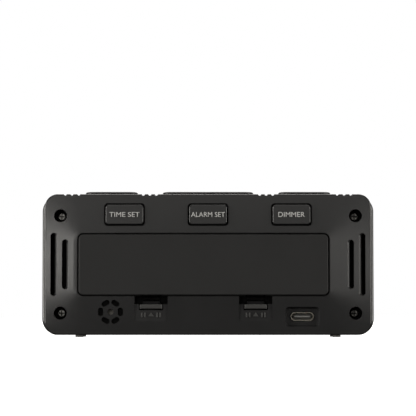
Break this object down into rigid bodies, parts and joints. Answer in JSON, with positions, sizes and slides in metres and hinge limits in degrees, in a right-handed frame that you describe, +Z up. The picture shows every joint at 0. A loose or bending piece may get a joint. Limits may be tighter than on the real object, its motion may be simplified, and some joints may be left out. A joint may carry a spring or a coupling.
{
  "type": "alarm clock",
  "caption": "Low, wide digital alarm clock with a smoked display window, sprung keys on its top and rear, a latched battery door, a charging socket and a sounder grille.",
  "frame": {"origin": "bottom centre of the overall bounding box, on the plane that the feet stand on", "axes": "+X to the right of someone reading the display, -Y out of the display, +Y out of the rear, +Z up"},
  "size_m": [0.132, 0.0244, 0.057],
  "materials": {
    "battery_sleeve": "printed shrink sleeve over a steel can",
    "case_plastic": "charcoal moulded plastic with a fine even spark texture",
    "chip_resin": "black moulded resin",
    "circuit_board": "green solder mask on glass laminate",
    "contact_nickel": "nickel-plated spring steel",
    "dark_resin": "milky resin, unlit",
    "digit_plastic": "grey reflector block",
    "door_plastic": "charcoal moulded plastic with a slightly coarser texture",
    "foot_rubber": "soft dark grey rubber",
    "key_plastic": "charcoal moulded plastic with pale printed legends",
    "lead_insulation": "soft wire insulation",
    "lens_acrylic": "smoked see-through acrylic window",
    "light_chip": "light emitting chip",
    "lit_resin": "milky resin, lit white",
    "screw_steel": "zinc-plated steel",
    "socket_resin": "grey moulded resin",
    "socket_steel": "bright drawn steel",
    "sounder_brass": "thin brass disc",
    "sounder_ceramic": "silvered piezo ceramic",
    "sounder_plastic": "black sounder case",
    "stem_plastic": "cream switch stem",
    "switch_plastic": "black switch body"
  },
  "bodies": {
    "case": {"alarm_plus_switch": "switch_plastic", "alarm_set_switch": "switch_plastic", "battery_leads": "lead_insulation", "battery_lower_left": "battery_sleeve", "battery_lower_right": "battery_sleeve", "battery_upper_left": "battery_sleeve", "battery_upper_right": "battery_sleeve", "board_screws": "screw_steel", "bridge_contact": "contact_nickel", "buzzer_case": "sounder_plastic", "buzzer_crystal": "sounder_ceramic", "buzzer_disc": "sounder_brass", "case_screws": "screw_steel", "clock_chips": "chip_resin", "contact_springs": "contact_nickel", "dark_segments": "dark_resin", "digit_block": "digit_plastic", "dimmer_switch": "switch_plastic", "display_board": "circuit_board", "display_lens": "lens_acrylic", "foot_front_left": "foot_rubber", "foot_front_right": "foot_rubber", "foot_rear_left": "foot_rubber", "foot_rear_right": "foot_rubber", "front_frame": "case_plastic", "key_board": "circuit_board", "key_pins": "contact_nickel", "light_chips": "light_chip", "lit_segments": "lit_resin", "negative_contact": "contact_nickel", "positive_contact": "contact_nickel", "power_board": "circuit_board", "power_chips": "chip_resin", "rear_housing": "case_plastic", "snooze_switch": "switch_plastic", "sounder_leads": "lead_insulation", "supply_leads": "lead_insulation", "time_set_switch": "switch_plastic", "usb_shell": "socket_steel", "usb_tongue": "socket_resin", "volume_minus_switch": "switch_plastic"},
    "alarm_plus_button": {"alarm_plus_key": "key_plastic", "alarm_plus_switch_stem": "stem_plastic"},
    "snooze_button": {"snooze_key": "key_plastic", "snooze_switch_stem": "stem_plastic"},
    "volume_minus_button": {"volume_minus_key": "key_plastic", "volume_minus_switch_stem": "stem_plastic"},
    "dimmer_button": {"dimmer_key": "key_plastic", "dimmer_switch_stem": "stem_plastic"},
    "alarm_set_button": {"alarm_set_key": "key_plastic", "alarm_set_switch_stem": "stem_plastic"},
    "time_set_button": {"time_set_key": "key_plastic", "time_set_switch_stem": "stem_plastic"},
    "door": {"battery_door": "door_plastic", "latch_spring_left": "door_plastic", "latch_spring_right": "door_plastic"},
    "latch_left": {"latch_tab_left": "door_plastic"},
    "latch_right": {"latch_tab_right": "door_plastic"}
  },
  "joints": [
    {"name": "alarm_plus_press", "type": "slide", "parent": "case", "child": "alarm_plus_button", "axis": [0, 0, -1], "range_m": [0, 0.0005], "stiffness_N_per_m": 500},
    {"name": "snooze_press", "type": "slide", "parent": "case", "child": "snooze_button", "axis": [0, 0, -1], "range_m": [0, 0.0005], "stiffness_N_per_m": 800},
    {"name": "volume_minus_press", "type": "slide", "parent": "case", "child": "volume_minus_button", "axis": [0, 0, -1], "range_m": [0, 0.0005], "stiffness_N_per_m": 500},
    {"name": "dimmer_press", "type": "slide", "parent": "case", "child": "dimmer_button", "axis": [0, -1, 0], "range_m": [0, 0.0004], "stiffness_N_per_m": 500},
    {"name": "alarm_set_press", "type": "slide", "parent": "case", "child": "alarm_set_button", "axis": [0, -1, 0], "range_m": [0, 0.0004], "stiffness_N_per_m": 500},
    {"name": "time_set_press", "type": "slide", "parent": "case", "child": "time_set_button", "axis": [0, -1, 0], "range_m": [0, 0.0004], "stiffness_N_per_m": 500},
    {"name": "door_hinge", "type": "hinge", "parent": "case", "child": "door", "pos_m": [0.0018, 0.0112, 0.0404], "axis": [1, 0, 0], "range_deg": [0, 75]},
    {"name": "latch_left_slide", "type": "slide", "parent": "door", "child": "latch_left", "axis": [0, 0, 1], "range_m": [0, 0.001], "stiffness_N_per_m": 1500, "deforming": ["latch_spring_left"]},
    {"name": "latch_right_slide", "type": "slide", "parent": "door", "child": "latch_right", "axis": [0, 0, 1], "range_m": [0, 0.001], "stiffness_N_per_m": 1500, "deforming": ["latch_spring_right"]}
  ]
}
